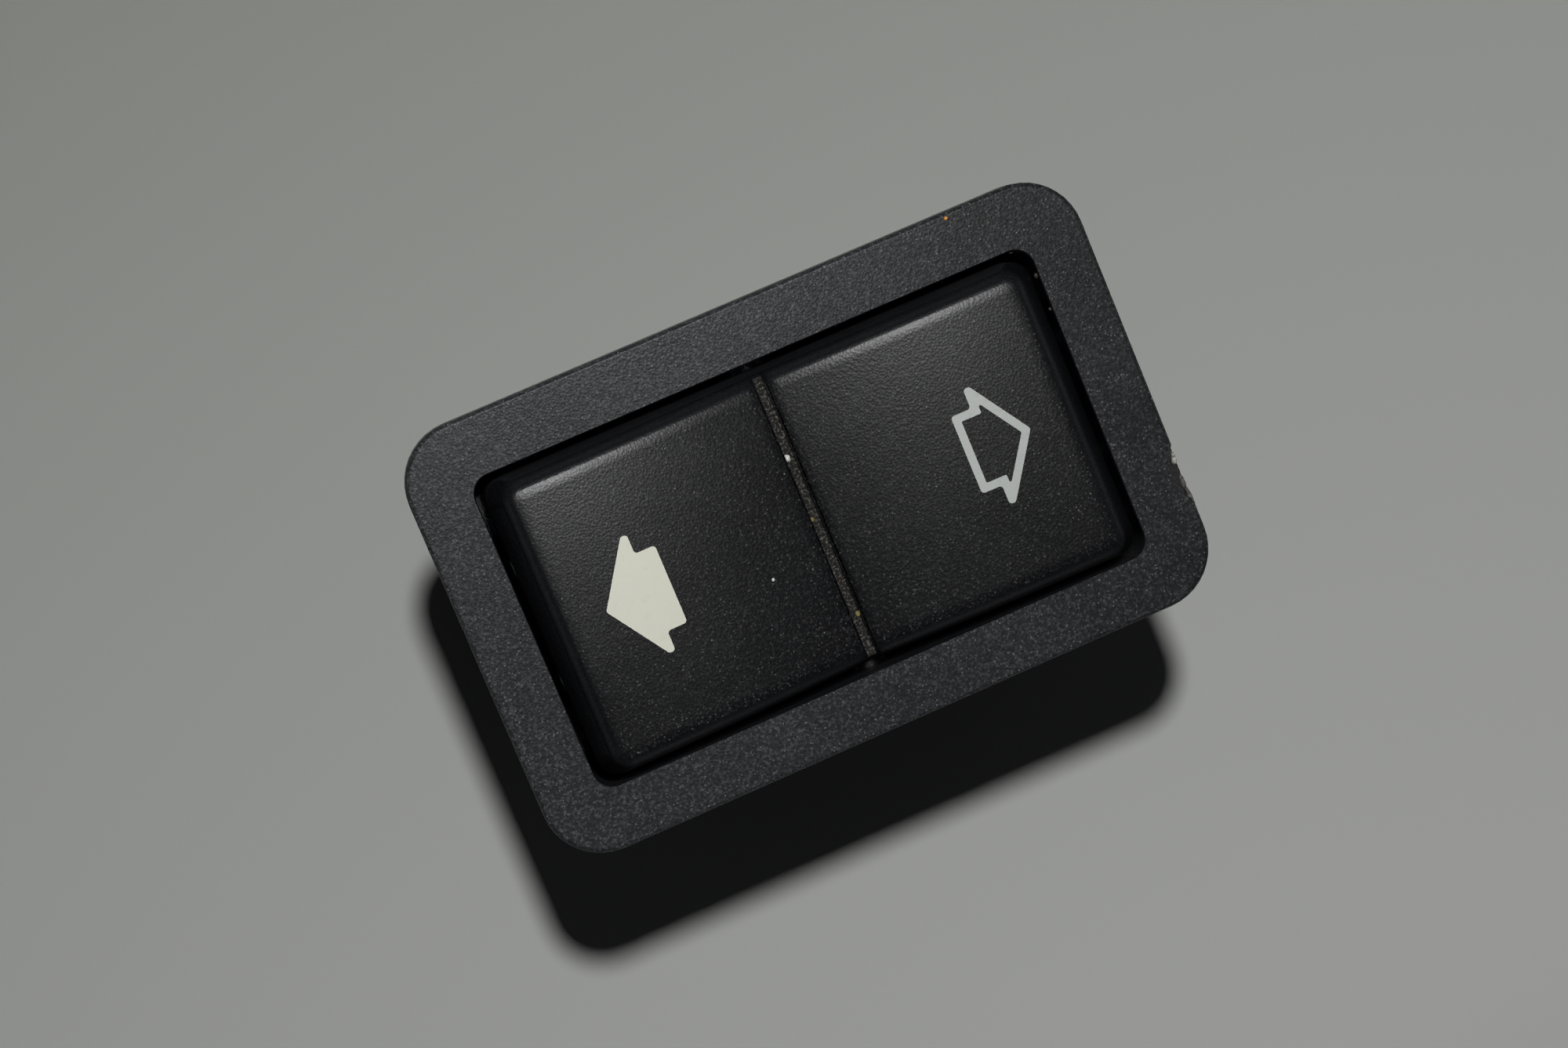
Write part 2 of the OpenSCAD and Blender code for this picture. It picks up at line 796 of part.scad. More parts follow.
// Blade with a cradle that a see-saw rocks in, between two ears
module fulcrum_terminal(row) {
    room_w = strip_w + 2 * ear_clear;
    color("#b7995b")
        difference() {
            union() {
                blade(0, row * blade_y, floor_z + eps);
                translate([0, row * row_y, 0])
                    block(fulcrum_l, room_w + 2 * ear_t, floor_z, seesaw_z + ear_h);
            }
            translate([0, row * row_y, 0])
                block(fulcrum_l + 2 * eps, room_w, seesaw_z - cradle_drop, seesaw_z + ear_h + eps);
            translate([0, row * row_y, seesaw_z])
                rotate([90, 0, 0])
                    cylinder(r = bead_r + bead_clear, h = room_w, center = true);
        }
}

module fulcrum_terminal_front() {
    fulcrum_terminal(-1);
}

module fulcrum_terminal_rear() {
    fulcrum_terminal(1);
}

// Sealed glass bulb with a round top
module lamp_bulb() {
    low_z = floor_z + holder_floor;
    color("#dfe3e0", 0.6) {
        translate([0, 0, low_z])
            cylinder(r = bulb_r, h = bulb_l - bulb_r);
        translate([0, 0, low_z + bulb_l - bulb_r])
            sphere(bulb_r);
    }
}

// Square cup that holds the bulb
module lamp_holder() {
    color("#3b3c3f")
        difference() {
            block(2 * holder_half, 2 * holder_half, floor_z, floor_z + holder_h);
            translate([0, 0, floor_z + holder_floor])
                cylinder(r = bulb_r + bulb_clear, h = holder_h);
        }
}

// Blade bent into a tab against the lamp holder
module lamp_terminal(side) {
    tab_l = lamp_terminal_x + blade_t / 2 - holder_half - slot_clear;
    color("#b7995b") {
        blade(side * lamp_terminal_x, 0, floor_z + blade_t);
        translate([side * (lamp_terminal_x + blade_t / 2 - tab_l / 2), 0, 0])
            block(tab_l, blade_w, floor_z, floor_z + blade_t);
    }
}

module lamp_terminal_left() {
    lamp_terminal(-1);
}

module lamp_terminal_right() {
    lamp_terminal(1);
}

// Base that closes the housing, carries every terminal and forms the connector
module base() {
    slot_l = blade_t + 2 * slot_clear;
    slot_w = blade_w + 2 * slot_clear;
    color("#2b2c2e")
        difference() {
            union() {
                plate(body_l, body_w, body_corner_r, shroud_h, flange_t);
                plate(plug_l, plug_w, opening_corner_r, base_z - eps, base_t + eps);
                terminal_pedestals();
                for (side = [0, 1])
                    mirror([0, side, 0])
                        snap_lugs();
                shroud();
            }
            for (x = [-terminal_x, 0, terminal_x], y = [-blade_y, blade_y])
                translate([x, y, 0])
                    block(slot_l, slot_w, shroud_h - eps, pad_z + eps);
            for (x = [-lamp_terminal_x, lamp_terminal_x])
                translate([x, 0, 0])
                    block(slot_l, slot_w, shroud_h - eps, floor_z + eps);
        }
}

// Raised seats under the pads of the four contact terminals
module terminal_pedestals() {
    inner = contact_x - rivet_r;
    outer = terminal_x + blade_t / 2 + housing_wall / 2;
    for (side = [-1, 1], y = [-row_y, row_y])
        translate([side * (inner + outer) / 2, y, 0])
            block(outer - inner, blade_w + housing_wall, floor_z - eps, pad_z);
}

// Wedges on one long side that snap into the housing's windows
module snap_lugs() {
    low_z = base_z + lug_lift;
    root = plug_w / 2 - eps;
    tip = body_w / 2 - lug_clear;
    for (x = [-lug_x, lug_x])
        translate([x, 0, 0])
            along(lug_w)
                polygon([
                    [root, low_z], [tip, low_z], [tip, low_z + lug_h / 3],
                    [plug_w / 2, low_z + lug_h], [root, low_z + lug_h]
                ]);
}

// Wall around the connector, with a latch wedge outside and coding ribs inside
module shroud() {
    inner_l = shroud_l - 2 * shroud_wall;
    inner_w = shroud_w - 2 * shroud_wall;
    latch_z = shroud_h / 2;
    outside = -shroud_w / 2;
    difference() {
        plate(shroud_l, shroud_w, shroud_corner_r, 0, shroud_h + eps);
        plate(inner_l, inner_w, shroud_corner_r - shroud_wall, -eps, shroud_h + eps);
    }
    for (x = [-key_x, key_x])
        translate([x, inner_w / 2 - key_reach / 2 + eps / 2, 0])
            block(key_w, key_reach + eps, blade_recess, shroud_h + eps);
    along(latch_w)
        polygon([
            [outside + eps, latch_z - latch_h / 2], [outside, latch_z - latch_h / 2],
            [outside - latch_out, latch_z + latch_h / 2], [outside + eps, latch_z + latch_h / 2]
        ]);
}

housing();
base();
rocker_cap();
filled_arrow_lens();
outline_arrow_lens();
plunger_front();
plunger_rear();
plunger_spring_front();
plunger_spring_rear();
contact_strip_front();
contact_strip_rear();
moving_contacts_front();
moving_contacts_rear();
fixed_contacts();
contact_terminal_front_left();
contact_terminal_front_right();
contact_terminal_rear_left();
contact_terminal_rear_right();
fulcrum_terminal_front();
fulcrum_terminal_rear();
lamp_bulb();
lamp_holder();
lamp_terminal_left();
lamp_terminal_right();
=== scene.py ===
# %% [markdown]
# A console switch for a power window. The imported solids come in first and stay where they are; the
# rest of this lesson dresses them: a moulded housing, a rocker with a falling face on each side of a
# groove, two arrow inlays, small damage from use, and a material for every piece.

# %% Load the frame
import math

import bmesh
import bpy
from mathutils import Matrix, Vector, noise


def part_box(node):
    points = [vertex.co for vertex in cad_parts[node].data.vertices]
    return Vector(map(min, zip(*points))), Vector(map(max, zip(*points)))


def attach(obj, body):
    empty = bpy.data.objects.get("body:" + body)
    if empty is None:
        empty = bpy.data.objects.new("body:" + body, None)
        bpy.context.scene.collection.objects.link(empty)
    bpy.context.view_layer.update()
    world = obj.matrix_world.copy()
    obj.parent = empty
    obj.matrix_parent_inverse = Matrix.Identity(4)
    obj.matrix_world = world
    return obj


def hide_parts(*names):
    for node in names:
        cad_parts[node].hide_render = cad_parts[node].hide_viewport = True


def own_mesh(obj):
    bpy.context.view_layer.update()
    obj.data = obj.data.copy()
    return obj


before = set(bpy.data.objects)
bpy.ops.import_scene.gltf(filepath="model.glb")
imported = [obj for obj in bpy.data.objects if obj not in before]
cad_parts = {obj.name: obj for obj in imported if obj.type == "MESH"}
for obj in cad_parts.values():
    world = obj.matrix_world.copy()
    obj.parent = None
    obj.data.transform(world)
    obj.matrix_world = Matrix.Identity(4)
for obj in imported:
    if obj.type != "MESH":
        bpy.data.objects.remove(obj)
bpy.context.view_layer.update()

MM = 0.001
bpy.ops.object.select_all(action="DESELECT")

# %% [markdown]
# The camera comes first, so that every later step can be judged in the same view. Its place and turn
# were fitted to the corners of the frame and to the arrows, the sharpest points of the object.

# %% Camera
scene = bpy.context.scene
scene.view_settings.view_transform = "Standard"
lens = bpy.data.cameras.new("camera")
lens.sensor_fit = "HORIZONTAL"
lens.angle = math.radians(28)
lens.clip_start = 5 * MM
camera = bpy.data.objects.new("camera", lens)
camera.location = Vector((-21.02, 22.13, 212.81)) * MM
camera.rotation_euler = [math.radians(a) for a in (-3.832, -7.952, -22.829)]
scene.collection.objects.link(camera)
scene.camera = camera


# %% [markdown]
# Four small helpers carry all the materials. The first turns a colour as a painter writes it, in sRGB
# hex, into the linear numbers that the shader wants. The second adds one node, with its settings and
# with its inputs set or linked, so that a material reads as a list of what it is made of. The others
# start a material and spread a value over a row of colours.

# %% Colour and node helpers
def linear(code):
    parts = [int(code[i:i + 2], 16) / 255 for i in (1, 3, 5)]
    return [p / 12.92 if p <= 0.04045 else ((p + 0.055) / 1.055) ** 2.4 for p in parts] + [1]


def add_node(tree, kind, inputs=(), **settings):
    made = tree.nodes.new(kind)
    for name, value in settings.items():
        setattr(made, name, value)
    for socket, value in dict(inputs).items():
        if isinstance(value, bpy.types.NodeSocket):
            tree.links.new(value, made.inputs[socket])
        else:
            made.inputs[socket].default_value = value
    return made


def start_material(name):
    made = bpy.data.materials.new(name)
    made.use_nodes = True
    tree = made.node_tree
    place = add_node(tree, "ShaderNodeTexCoord").outputs["Object"]
    return made, tree, tree.nodes["Principled BSDF"], place


def ramp(tree, factor, stops):
    made = add_node(tree, "ShaderNodeValToRGB", {"Fac": factor})
    for place, code in stops[2:]:
        made.color_ramp.elements.new(place)
    for element, (place, code) in zip(made.color_ramp.elements, sorted(stops)):
        element.position, element.color = place, linear(code)
    return made.outputs["Color"]


# %% [markdown]
# The switch stands on a plain pale floor in a dim room. The floor is matt, and its colour is painted a
# little lighter towards the front, as painted light. Far from the switch it fades into the colour of the
# room, so that low views show no hard horizon. That fading is only looked at and gives no light.

# %% Floor
BACKDROP = 0.1


def seen_rays(tree):
    """One where a surface is looked at, straight or in gloss or glass, and nought where it gives light."""
    path = add_node(tree, "ShaderNodeLightPath").outputs
    seen = 0
    for kind in ("Is Camera Ray", "Is Glossy Ray", "Is Transmission Ray"):
        seen = add_node(tree, "ShaderNodeMath", {0: path[kind], 1: seen}, operation="MAXIMUM").outputs[0]
    return seen


floor_paint, tree, shader, place = start_material("matt_painted_board")
# painted light: the floor's colour is lighter towards the front, a painted fall of light across the floor
across = add_node(tree, "ShaderNodeMapping",
                  {"Vector": place, "Location": (0.5, 0, 0), "Scale": (9.4, 9.4, 9.4),
                   "Rotation": (0, 0, math.radians(88))})
painted_light_gradient = add_node(tree, "ShaderNodeTexGradient", {"Vector": across.outputs["Vector"]})
tone = ramp(tree, painted_light_gradient.outputs["Fac"], [(0.0, "#81837f"), (1.0, "#afb0ad")])
tree.links.new(tone, shader.inputs["Base Color"])
shader.inputs["Roughness"].default_value = 0.9
shader.inputs["Specular IOR Level"].default_value = 0
reach = add_node(tree, "ShaderNodeVectorMath", {0: place}, operation="LENGTH").outputs["Value"]
haze = add_node(tree, "ShaderNodeMapRange",
                {"Value": reach, "From Min": 140 * MM, "From Max": 600 * MM, "To Max": BACKDROP})
haze = add_node(tree, "ShaderNodeMath", {0: haze.outputs["Result"], 1: seen_rays(tree)},
                operation="MULTIPLY")
tree.links.new(haze.outputs["Value"], shader.inputs["Emission Strength"])
bpy.ops.mesh.primitive_plane_add(size=3)
floor = bpy.context.object
floor.name = "floor"
floor.data.materials.append(floor_paint)
print("floor is laid")

# %% [markdown]
# A soft lamp behind and above the switch shades it and casts the long shadow. A second one, seen only
# in gloss, draws the highlight along the rocker's rear edge. Four weak panels, also seen only in gloss,
# keep the black side walls readable. The room adds a breath of light from everywhere.

# %% Lamps and room
ROOM_LIGHT = 0.022
PANEL_REACH = 260


def disk_lamp(name, place, size, energy):
    """A round soft lamp at a place in mm, turned towards the top of the switch."""
    data = bpy.data.lights.new(name, "AREA")
    data.shape, data.size, data.energy = "DISK", size * MM, energy
    lamp = bpy.data.objects.new(name, data)
    lamp.location = Vector(place) * MM
    sight = Vector((0, 0, 26)) * MM - lamp.location
    lamp.rotation_euler = sight.to_track_quat("-Z", "Y").to_euler()
    scene.collection.objects.link(lamp)
    return lamp


disk_lamp("shade_lamp", (14, 136, 346), 26, 1.24).visible_glossy = False
disk_lamp("gloss_lamp", (14, 86, 346), 45, 1.1).visible_diffuse = False
for side, x, y in (("front", 0, -1), ("rear", 0, 1), ("left", -1, 0), ("right", 1, 0)):
    panel = disk_lamp(side + "_panel", (x * PANEL_REACH, y * PANEL_REACH, 80), 150, 0.055)
    panel.visible_diffuse = panel.visible_camera = False

world = bpy.data.worlds.new("room")
scene.world = world
world.use_nodes = True
tree = world.node_tree
room_light = tree.nodes["Background"]
room_light.inputs["Color"].default_value = linear("#f4f6fa")
strength = add_node(tree, "ShaderNodeMapRange",
                    {"Value": seen_rays(tree), "To Min": ROOM_LIGHT, "To Max": BACKDROP})
tree.links.new(strength.outputs["Result"], room_light.inputs["Strength"])


# %% [markdown]
# The next helpers are the hands. Edit mode works on what is selected, so one of them selects points,
# edges or faces by a rule about their place in millimetres, and the others open a piece for editing,
# cut it with planes, join it with another, or move its points by a rule.

# %% Modelling helpers
def hold(piece):
    bpy.ops.object.select_all(action="DESELECT")
    piece.select_set(True)
    bpy.context.view_layer.objects.active = piece
    return piece


def open_piece(piece):
    hold(piece)
    bpy.ops.object.mode_set(mode="EDIT")


def close_piece():
    bpy.ops.object.mode_set(mode="OBJECT")


def choose(kind, rule):
    """Selects the open piece's verts, edges or faces whose middle, in mm, and normal pass the rule."""
    bpy.ops.mesh.select_mode(type={"verts": "VERT", "edges": "EDGE", "faces": "FACE"}[kind])
    bpy.ops.mesh.select_all(action="DESELECT")
    mesh = bpy.context.object.data
    shape = bmesh.from_edit_mesh(mesh)
    shape.normal_update()
    count = 0
    for part in getattr(shape, kind):
        if kind == "verts":
            middle, normal = part.co, part.normal
        elif kind == "edges":
            middle, normal = (part.verts[0].co + part.verts[1].co) / 2, part
        else:
            middle, normal = part.calc_center_median(), part.normal
        if rule(middle / MM, normal):
            part.select_set(True)
            count += 1
    shape.select_flush_mode()
    bmesh.update_edit_mesh(mesh)
    return count


def slice_at(axis, places):
    """Cuts the open piece all through at these places along an axis, in mm."""
    normal = Vector((axis == "x", axis == "y", axis == "z"))
    for at in places:
        bpy.ops.mesh.select_all(action="SELECT")
        bpy.ops.mesh.bisect(plane_co=normal * at * MM, plane_no=normal)


def move_points(piece, rule):
    """Gives every point of a closed piece the place that the rule returns, in mm."""
    for point in piece.data.vertices:
        point.co = rule(point.co / MM) * MM
    piece.data.update()


def apply_all(piece):
    hold(piece)
    for modifier in list(piece.modifiers):
        bpy.ops.object.modifier_apply(modifier=modifier.name)


def combine(piece, other, operation):
    """Cuts away, adds or keeps the other piece's volume, and uses the other piece up."""
    work = piece.modifiers.new(operation.lower(), "BOOLEAN")
    work.operation, work.solver, work.object = operation, "EXACT", other
    work.material_mode = "TRANSFER"
    apply_all(piece)
    print(piece.name, operation.lower(), other.name, "faces:", len(piece.data.polygons))
    bpy.data.objects.remove(other)


def block(name, low, high):
    """A box between two corners in mm, as a start for a piece or a cutter."""
    low, high = Vector(low), Vector(high)
    bpy.ops.object.select_all(action="DESELECT")
    bpy.ops.mesh.primitive_cube_add(size=1, location=(low + high) / 2 * MM)
    piece = bpy.context.object
    piece.name = name
    piece.scale = (high - low) * MM
    bpy.ops.object.transform_apply(location=True, rotation=True, scale=True)
    return piece


def rod(name, radius, start, length, axis="z", sides=48):
    """A round bar that starts at a point in mm and runs along an axis."""
    bpy.ops.object.select_all(action="DESELECT")
    run = Vector((0, 1, 0)) if axis == "y" else Vector((0, 0, 1))
    turn = (math.radians(90), 0, 0) if axis == "y" else (0, 0, 0)
    bpy.ops.mesh.primitive_cylinder_add(vertices=sides, radius=radius * MM, depth=abs(length) * MM,
                                        location=(Vector(start) + run * length / 2) * MM, rotation=turn)
    piece = bpy.context.object
    piece.name = name
    bpy.ops.object.transform_apply(location=True, rotation=True, scale=True)
    return piece


def rounded_plate(name, length, width, radius, z, steps=10):
    """A flat face with round corners at a height in mm."""
    bpy.ops.object.select_all(action="DESELECT")
    bpy.ops.mesh.primitive_plane_add(size=1, location=(0, 0, z * MM))
    piece = bpy.context.object
    piece.name = name
    piece.scale = (length * MM, width * MM, 1)
    bpy.ops.object.transform_apply(location=True, rotation=True, scale=True)
    open_piece(piece)
    bpy.ops.mesh.select_all(action="SELECT")
    bpy.ops.mesh.bevel(offset=radius * MM, segments=steps, affect="VERTICES")
    close_piece()
    return piece


def raise_faces(height):
    """Pulls the open piece's selected faces up by a height in mm."""
    bpy.ops.mesh.extrude_region_move(TRANSFORM_OT_translate={"value": (0, 0, height * MM)})


def finish_shading(piece, angle=35):
    """Smooth over round edges, true on flat faces."""
    hold(piece)
    bpy.ops.object.shade_smooth_by_angle(angle=math.radians(angle))
    weigh = piece.modifiers.new("flat_faces", "WEIGHTED_NORMAL")
    weigh.keep_sharp, weigh.weight = True, 100
    apply_all(piece)


def paint(piece, materials, rule=None):
    """Gives a piece its materials; the rule picks one for each face by its middle in mm and its normal."""
    piece.data.materials.clear()
    for material in materials:
        piece.data.materials.append(material)
    for face in piece.data.polygons:
        face.material_index = rule(face.center / MM, face.normal) if rule else 0


# %% [markdown]
# Black ABS is the stuff of nearly everything here, in several finishes. The frame's top and the
# rocker's face came from a spark-eroded mould: a fine grain whose crests break the lamp's reflection
# into bright points, drawn here as painted glints in the colour. Hands have polished the rocker's face,
# so it is blacker and glossier than the frame, whose crests have faded to grey. The frame's colour is
# also painted darker towards its right side, a painted shade for the lamp's light falling off there.
# The real grain is about 0.1 mm and would blur away, so it is drawn nearly twice as coarse, with its
# painted glints 0.25 mm apart and a speck of dust every 1.3 mm. The walls and round edges left a
# polished mould and stay deeper black.

# %% Black plastics
GRAIN_MM, PAINTED_GLINT_MM, DUST_MM, CLOUD_MM = 0.18, 0.25, 1.3, 5


def black_plastic(name, hollows, body, crests, roughness, gloss, relief_mm, grain_mm=GRAIN_MM, dust=0.0,
                  right_side_painted_shade=1.0, painted_glint=None):
    made, tree, shader, place = start_material(name)
    grain = add_node(tree, "ShaderNodeTexNoise",
                     {"Vector": place, "Scale": 1 / (grain_mm * MM), "Detail": 2, "Roughness": 0.6})
    colour = ramp(tree, grain.outputs["Fac"], [(0.34, hollows), (0.52, body), (0.72, crests)])
    cloud = add_node(tree, "ShaderNodeTexNoise",
                     {"Vector": place, "Scale": 1 / (CLOUD_MM * MM), "Detail": 4}).outputs["Fac"]
    shade = ramp(tree, cloud, [(0.35, "#e6e6e6"), (0.65, "#ffffff")])
    colour = add_node(tree, "ShaderNodeMix", {"Factor": 1.0, "A": colour, "B": shade}, data_type="RGBA",
                      blend_type="MULTIPLY").outputs["Result"]
    # painted shade: the whole colour darkens from x 6 mm to 20 mm, for the lamp's light falling off towards
    # the right
    if right_side_painted_shade < 1:
        along = add_node(tree, "ShaderNodeSeparateXYZ", {"Vector": place}).outputs["X"]
        painted_light_gradient = add_node(tree, "ShaderNodeMapRange",
                        {"Value": along, "From Min": 6 * MM, "From Max": 20 * MM,
                         "To Min": 1.0, "To Max": right_side_painted_shade})
        colour = add_node(tree, "ShaderNodeVectorMath", {0: colour, "Scale": painted_light_gradient.outputs["Result"]},
                          operation="SCALE").outputs["Vector"]
    if dust:
        cells = add_node(tree, "ShaderNodeTexVoronoi", {"Vector": place, "Scale": 1 / (DUST_MM * MM)})
        speck = add_node(tree, "ShaderNodeMapRange",
                         {"Value": cells.outputs["Distance"], "From Min": 0.03, "From Max": 0.055,
                          "To Min": dust, "To Max": 0.0})
        colour = add_node(tree, "ShaderNodeMix", {"Factor": speck.outputs["Result"], "A": colour,
                                                  "B": linear("#8b8a84")}, data_type="RGBA").outputs["Result"]
    # painted glints: sparse bright points in the colour, standing in for the lamp's reflection on the grain's
    # crests
    if painted_glint:
        points = add_node(tree, "ShaderNodeTexVoronoi",
                          {"Vector": place, "Scale": 1 / (PAINTED_GLINT_MM * MM)}).outputs
        spark = add_node(tree, "ShaderNodeMapRange",
                         {"Value": points["Distance"], "From Min": 0.12, "From Max": 0.26,
                          "To Min": points["Color"], "To Max": 0.0})
        colour = add_node(tree, "ShaderNodeMix", {"Factor": spark.outputs["Result"], "A": colour,
                                                  "B": linear(painted_glint)}, data_type="RGBA").outputs["Result"]
    tree.links.new(colour, shader.inputs["Base Color"])
    spread = add_node(tree, "ShaderNodeMapRange",
                      {"Value": cloud, "From Min": 0.3, "From Max": 0.7,
                       "To Min": roughness - 0.02, "To Max": roughness + 0.02})
    tree.links.new(spread.outputs["Result"], shader.inputs["Roughness"])
    shader.inputs["Specular IOR Level"].default_value = gloss
    pits = add_node(tree, "ShaderNodeTexVoronoi", {"Vector": place, "Scale": 1 / (grain_mm * 0.9 * MM)})
    relief = add_node(tree, "ShaderNodeBump",
                      {"Height": pits.outputs["Distance"], "Distance": relief_mm * MM})
    tree.links.new(relief.outputs["Normal"], shader.inputs["Normal"])
    return made


# The frame carries painted shade towards its right side; both grained finishes carry painted glints.
grained_abs = black_plastic("spark_grained_black_abs", "#1c1d1f", "#27282a", "#48494a", 0.362, 0.115, 0.009,
                            dust=0.4, right_side_painted_shade=0.66, painted_glint="#68686a")
rocker_grain = black_plastic("spark_grained_black_abs_handled", "#020304", "#050608", "#272728", 0.346, 0.19,
                             0.007, dust=0.4, painted_glint="#525254")
smooth_abs = black_plastic("polished_black_abs", "#0b0c0f", "#0c0d10", "#0e0f12", 0.34, 0.18, 0.004,
                           grain_mm=0.4)
body_abs = black_plastic("plain_moulded_black_abs", "#141517", "#17181a", "#1b1c1e", 0.42, 0.4, 0.01,
                         grain_mm=0.25)
round_abs = black_plastic("worn_round_edge_black_abs", "#0c0d10", "#0f1013", "#17181a", 0.4, 0.1, 0.008)
dusty_groove = black_plastic("black_abs_with_settled_dust", "#0d0d0c", "#1b1a18", "#64615b", 0.8, 0.2, 0.03,
                             grain_mm=0.16, dust=0.7)
print("black plastics:", [m.name for m in bpy.data.materials if "abs" in m.name])

# %% [markdown]
# Where the frame's right edge broke, the plastic tore: a dark uneven face with lighter crests, a
# stress-whitened sliver that still hangs on it, and scuffed grey burrs beside it. All of them are rough
# all through, so they hold no highlight.

# %% Broken plastic
def mottled(name, dark, light, roughness, size_mm, detail, relief_mm=0.0):
    """A matt material between two tones, mottled at a size in mm, with a relief where one is given."""
    made, tree, shader, place = start_material(name)
    spots = add_node(tree, "ShaderNodeTexNoise",
                     {"Vector": place, "Scale": 1 / (size_mm * MM), "Detail": detail}).outputs["Fac"]
    tree.links.new(ramp(tree, spots, [dark, light]), shader.inputs["Base Color"])
    shader.inputs["Roughness"].default_value = roughness
    if relief_mm:
        relief = add_node(tree, "ShaderNodeBump", {"Height": spots, "Distance": relief_mm * MM})
        tree.links.new(relief.outputs["Normal"], shader.inputs["Normal"])
    return made


torn_abs = mottled("torn_black_abs", (0.45, "#0b0b0c"), (0.75, "#2a2928"), 0.7, 0.25, 5, relief_mm=0.15)
whitened_abs = mottled("stress_whitened_abs", (0.35, "#3d3b38"), (0.65, "#a3a29b"), 0.6, 0.2, 4)
burr_abs = mottled("scuffed_grey_abs_burr", (0.35, "#2b2b29"), (0.7, "#56534e"), 0.65, 0.18, 4)

# %% [markdown]
# The housing is one moulding: a frame with an opening, and a straight-walled body below it. Three
# tubes with round corners make it: the frame's outside, the body's outside and the opening. Bridging
# their rims closes the skin with clean faces, and bevels then round the edges as the mould does: wide
# on the frame's outer edge, fine on the opening.

# %% Housing skin
FRAME_TOP, FRAME_SEAT, BODY_FOOT = 26.0, 24.0, 7.5
# Length, width and corner radius of each outline
FRAME_PLAN, BODY_PLAN, OPENING_PLAN = (44, 27.7, 3.75), (38.9, 22.6, 2.4), (36.5, 20.2, 1.2)


def tube(name, plan, low, high, faces_in=False):
    piece = rounded_plate(name, *plan, low)
    open_piece(piece)
    bpy.ops.mesh.select_all(action="SELECT")
    raise_faces(high - low)
    choose("faces", lambda middle, normal: abs(normal.z) > 0.9)
    bpy.ops.mesh.delete(type="ONLY_FACE")
    bpy.ops.mesh.select_all(action="SELECT")
    bpy.ops.mesh.normals_make_consistent(inside=faces_in)
    close_piece()
    return piece


housing = tube("housing_shell", FRAME_PLAN, FRAME_SEAT, FRAME_TOP)
for skin in (tube("body_skin", BODY_PLAN, BODY_FOOT, FRAME_SEAT),
             tube("opening_skin", OPENING_PLAN, BODY_FOOT, FRAME_TOP, faces_in=True)):
    hold(housing)
    skin.select_set(True)
    bpy.ops.object.join()
open_piece(housing)
for level in (FRAME_TOP, FRAME_SEAT, BODY_FOOT):
    rims = choose("edges", lambda middle, edge: edge.is_boundary and abs(middle.z - level) < 0.01)
    bpy.ops.mesh.bridge_edge_loops()
    print("bridged", rims, "rim edges at", level, "mm")
bpy.ops.mesh.select_all(action="SELECT")
bpy.ops.mesh.normals_make_consistent(inside=False)


def outside_opening(middle):
    return abs(middle.x) > 18.4 or abs(middle.y) > 10.25


def level_edge(middle, edge, level, outer):
    flat = abs(edge.verts[0].co.z - edge.verts[1].co.z) < 1e-6
    crease = edge.calc_face_angle(0) > 1
    hidden = abs(level - FRAME_SEAT) < 0.01 and abs(middle.x) < 19.6 and abs(middle.y) < 11.5
    at_level = abs(middle.z - level) < 0.01
    return flat and crease and not hidden and at_level and outside_opening(middle) == outer


for level, outer, width, steps in ((FRAME_TOP, True, 0.3, 4), (FRAME_TOP, False, 0.08, 1),
                                   (FRAME_SEAT, True, 0.2, 2), (BODY_FOOT, True, 0.2, 2)):
    picked = choose("edges", lambda middle, edge: level_edge(middle, edge, level, outer))
    bpy.ops.mesh.bevel(offset=width * MM, segments=steps, affect="EDGES")
    print("rounded", picked, "edges at", level, "mm by", width, "mm")
close_piece()

# %% [markdown]
# The openings in the walls follow: a slot on three sides of each spring tongue, with a wedge on the
# tongue that clips behind a panel, windows for the base's snap lugs, and the round holes that carry
# the rocker. They are cut out with plain bodies, as slides in a mould leave them. Ledges in the four
# corners stop the rocker.

# %% Housing walls
PIVOT_Z = 22
slot_cutter = block("slot_cutter", (17.7, -4.2, 12.2), (20.1, 4.2, 22.2))
combine(slot_cutter, block("tongue_keeper", (17, -3.5, 11), (21, 3.5, 21.5)), "DIFFERENCE")
wedge = block("wedge", (18.85, -3.5, 18), (19.9, 3.5, 21.5))
open_piece(wedge)
choose("edges", lambda middle, edge: middle.x > 19.8 and middle.z < 18.1)
bpy.ops.transform.translate(value=(-0.45 * MM, 0, 0))
choose("edges", lambda middle, edge: middle.x > 19.8 and middle.z > 21.4)
bpy.ops.mesh.bevel(offset=0.22 * MM, segments=2, affect="EDGES")
close_piece()
ledge = block("ledge", (16.25, 5.9, 14.2), (18.6, 8.9, 17.2))


def mirrored(piece, sides):
    """Copies of a piece, each with its own mesh, mirrored to the sides of the plan."""
    for x, y in sides:
        twin = bpy.data.objects.new(piece.name, piece.data.copy())
        scene.collection.objects.link(twin)
        move_points(twin, lambda p: Vector((p.x * x, p.y * y, p.z)))
        if x * y < 0:
            twin.data.flip_normals()
        yield twin
    bpy.data.objects.remove(piece)


for twin in mirrored(slot_cutter, ((1, 1), (-1, 1))):
    combine(housing, twin, "DIFFERENCE")
for twin in mirrored(wedge, ((1, 1), (-1, 1))):
    combine(housing, twin, "UNION")
for twin in mirrored(ledge, ((1, 1), (-1, 1), (1, -1), (-1, -1))):
    combine(housing, twin, "UNION")
for x in (-11, 11):
    combine(housing, block("window_cutter", (x - 2.2, -12, 8.2), (x + 2.2, 12, 10)), "DIFFERENCE")
combine(housing, rod("pivot_cutter", 1.55, (0, -12, PIVOT_Z), 24, "y", 64), "DIFFERENCE")
print("housing faces:", len(housing.data.polygons))

